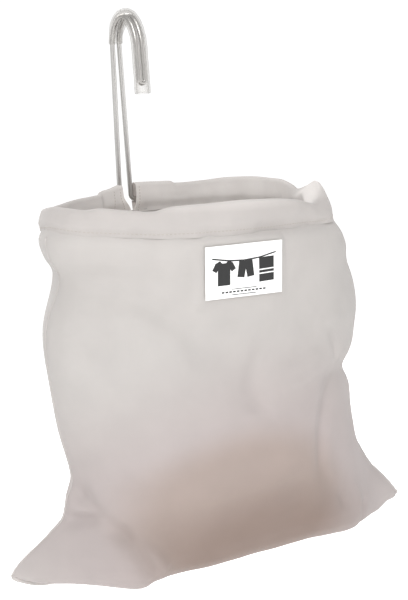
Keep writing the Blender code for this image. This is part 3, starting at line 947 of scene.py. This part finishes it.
def block(left, right, top, tall, slope=0.0):
    """Four corners of a printed bar; slope is how far its right side stands up."""
    return ((left, top), (right, top - slope), (right, top + tall - slope), (left, top + tall))


TOWEL = [block(13.5, 27, top, tall, slope=0.5) for top, tall in ((12.0, 9.0), (22.0, 2.0), (25.0, 6.0))]
RULES = [block(-11, 11, top, 0.5) for top in (34.2, 38.6)]
DASHES = [block(left, left + 2.4, 35.9, 1.2) for left in np.arange(-20.4, 19, 3.4)]


def make_print():
    """Each outline as one thin sheet of ink on the label."""
    points, faces = [], []
    for outline in [SHIRT, SHORTS, LINE] + TOWEL + RULES + DASHES:
        start = len(points)
        points += [label_point(u / 1000, v / 1000, PRINT_PROUD) for u, v in outline]
        faces.append(tuple(range(start, len(points))))
    obj = mesh_object("label_print", points, faces, MAT_INK, smooth_shading=False)
    thicken(obj, PRINT_INK)
    return obj


label = make_label()
label_print = make_print()


# ---- stitches ----
def point_at(distance, run, values):
    """Three-column values at a distance along a path."""
    return np.array([np.interp(distance, run, values[:, k]) for k in range(3)])


def stitches(name, rows, material, stitch=0.0022, gap=0.0010, radius=0.00024):
    """Short rounded dashes of thread along rows of (points, outward directions)."""
    sides = 6
    points, faces = [], []
    for path, outward in rows:
        path = np.asarray(path, float)
        run = distance_along(path)
        for begin in np.arange(gap, run[-1] - stitch, stitch + gap):
            ring = []
            for place, swell in ((0.0, 0.25), (0.2, 0.9), (0.5, 1.0), (0.8, 0.9), (1.0, 0.25)):
                at = begin + stitch * place
                centre = point_at(at, run, path)
                out = unit(point_at(at, run, outward))
                ahead = point_at(at + 0.0003, run, path) - point_at(at - 0.0003, run, path)
                side = unit(np.cross(ahead, out))
                lift = centre + out * radius * (0.7 * swell - 0.1)
                ring.append([lift + radius * swell * (math.cos(t) * side + math.sin(t) * out)
                             for t in np.arange(sides) * 2 * math.pi / sides])
            start = len(points)
            points += [p for one in ring for p in one]
            for face in grid_faces(len(ring), sides, tube=True):
                faces.append(tuple(start + corner for corner in face))
    return mesh_object(name, points, faces, material)


def hem_row(obj_rows, sample):
    """A row along the hem's outer face at one sample of its section."""
    rows = obj_rows[:, sample]
    outward = unit(np.cross(np.gradient(rows, axis=0), obj_rows[:, sample + 1] - obj_rows[:, sample]))
    middle = len(rows) // 2
    if (rows[middle] - (0.0, HOOP_Y, HOOP_Z)) @ outward[middle] < 0:
        outward = -outward
    return rows + outward * CLOTH / 2, outward


foot_rows = [hem_row(HEM_ROWS[name], 2) for name in ("hem_front", "hem_back_right", "hem_back_left")]
hem_stitches = stitches("hem_stitches", foot_rows, MAT_THREAD)


def slit_row(obj_rows, row):
    """A row down the hem's inner face beside the slit."""
    path = obj_rows[row, HEM_SAMPLES // 2 + 2:]
    outward = np.tile((0.0, -1.0, 0.0), (len(path), 1))
    return path + outward * CLOTH / 2, outward


slit_rows = [slit_row(HEM_ROWS[name], row)
             for name, row in (("hem_back_right", 2), ("hem_back_left", -3), ("hem_back_left", -7))]
slit_stitches = stitches("slit_stitches", slit_rows, MAT_THREAD, stitch=0.0016, gap=0.0008)


def label_border():
    """Four rows just inside the label's edges."""
    samples = 20
    u, low, high = LABEL_W / 2 - BORDER_INSET, BORDER_INSET, LABEL_H - BORDER_INSET
    corners = ((-u, low), (u, low), (u, high), (-u, high), (-u, low))
    rows = []
    for (u0, v0), (u1, v1) in zip(corners, corners[1:]):
        path = [label_point(u0 + (u1 - u0) * t, v0 + (v1 - v0) * t, BORDER_PROUD)
                for t in np.linspace(0, 1, samples)]
        rows.append((np.array(path), np.tile((0.0, -1.0, 0.0), (samples, 1))))
    return rows


label_stitches = stitches("label_stitches", label_border(), MAT_LABEL_THREAD,
                          stitch=0.0017, gap=0.0008, radius=0.00018)

# ---- stage, light, camera ----
def make_stage():
    """A pale floor far below, which meets the sky without a line."""
    n = Nodes("studio_floor")
    shader = n.add("BsdfDiffuse")
    shader.inputs["Color"].default_value = (0.93, 0.93, 0.93, 1)
    glow = n.add("Emission", Strength=0.55)
    both = n.add("AddShader")
    n.link(shader.outputs[0], both.inputs[0])
    n.link(glow.outputs[0], both.inputs[1])
    n.surface(both)
    half, low = 400.0, -0.90     # wide enough to reach the horizon
    points = [(-half, -half, low), (half, -half, low), (half, half, low), (-half, half, low)]
    floor = mesh_object("studio_floor", points, [(0, 1, 2, 3)], n.material, smooth_shading=False)


SKY_LIGHT = 0.58             # the sky's strength as a light
SKY_SEEN = 1.05              # and seen directly, as pale as the floor
BAG_MIDDLE = Vector((0.02, -0.05, -0.24))


def area_light(name, place, size, power, colour=(1, 1, 1)):
    """A soft light turned to the middle of the bag."""
    data = bpy.data.lights.new(name, "AREA")
    data.shape = "RECTANGLE"
    data.size, data.size_y = size
    data.energy = power
    data.color = colour
    obj = bpy.data.objects.new(name, data)
    bpy.context.scene.collection.objects.link(obj)
    obj.location = place
    obj.rotation_euler = (BAG_MIDDLE - Vector(place)).to_track_quat("-Z", "Y").to_euler()


def make_lights():
    area_light("key", (-1.6, -1.7, 1.3), (1.0, 1.0), 37)
    area_light("high", (-0.8, -1.3, 2.2), (1.4, 1.4), 22)
    area_light("fill", (1.7, -1.8, 0.2), (1.6, 1.6), 6.5, (1.0, 0.98, 0.97))
    area_light("back", (0.4, 1.9, 0.9), (2.0, 1.4), 36)
    world = bpy.data.worlds.new("studio")
    world.use_nodes = True
    tree = world.node_tree
    sky = tree.nodes["Background"]
    sky.inputs["Color"].default_value = (1.0, 1.0, 1.0, 1)
    seen = tree.nodes.new("ShaderNodeLightPath")
    strength = tree.nodes.new("ShaderNodeMath")
    strength.operation = "MULTIPLY_ADD"
    strength.inputs[1].default_value = SKY_SEEN - SKY_LIGHT
    strength.inputs[2].default_value = SKY_LIGHT
    tree.links.new(seen.outputs["Is Camera Ray"], strength.inputs[0])
    tree.links.new(strength.outputs[0], sky.inputs["Strength"])
    bpy.context.scene.world = world


# The camera's angle round the bag, its height over it and its roll.
AZIMUTH = math.radians(-36.0)
ELEVATION = math.radians(11.6)
ROLL = math.radians(3.24)
CAMERA_DISTANCE = 1.66
CAMERA_TARGET = Vector((0.0305, -0.04, -0.2183))
CAMERA_LENS = 126.29


def make_camera():
    flat = math.cos(ELEVATION)
    back = Vector((math.sin(AZIMUTH) * flat, -math.cos(AZIMUTH) * flat, math.sin(ELEVATION)))
    level = Vector((math.cos(AZIMUTH), math.sin(AZIMUTH), 0.0))
    upright = back.cross(level)
    right = math.cos(ROLL) * level - math.sin(ROLL) * upright
    up = math.sin(ROLL) * level + math.cos(ROLL) * upright
    place = CAMERA_TARGET + back * CAMERA_DISTANCE
    data = bpy.data.cameras.new("camera")
    data.lens = CAMERA_LENS
    data.clip_start = 0.05
    camera = bpy.data.objects.new("camera", data)
    bpy.context.scene.collection.objects.link(camera)
    rows = [(*axes, shift) for axes, shift in zip(zip(right, up, back), place)]
    camera.matrix_world = Matrix(rows + [(0, 0, 0, 1)])
    bpy.context.scene.camera = camera


make_stage()
make_lights()
make_camera()
bpy.context.scene.view_settings.view_transform = "Standard"

# ---- the hanger body, and CAD parts hidden where pieces replace them ----
for piece, nodes, slot in (
    (wire, ["wire_frame"], "wire"),
    (sleeve, ["crook_sleeve"], "clear_sleeve"),
    (hem_front, ["front_hem_casing"], "hem_cloth"),
    (hem_left, ["back_hem_casing_left"], "hem_cloth"),
    (hem_right, ["back_hem_casing_right"], "hem_cloth"),
    (hem_stitches, [], "hem_cloth"),
    (slit_stitches, [], "hem_cloth"),
):
    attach(piece, "hanger")
    if nodes:
        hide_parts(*nodes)

for piece, nodes, slot in (
    (front_cloth, ["front_panel"], "panel_cloth"),
    (back_cloth, ["back_panel"], "panel_cloth"),
    (seam_left, ["side_seam_left"], "seam_cloth"),
    (seam_right, ["side_seam_right"], "seam_cloth"),
    (seam_bottom, ["bottom_seam"], "seam_cloth"),
    (label, ["label"], "label_cloth"),
    (label_print, [], "label_cloth"),
    (label_stitches, [], "label_cloth"),
):
    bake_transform(piece)
    if nodes:
        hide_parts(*nodes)
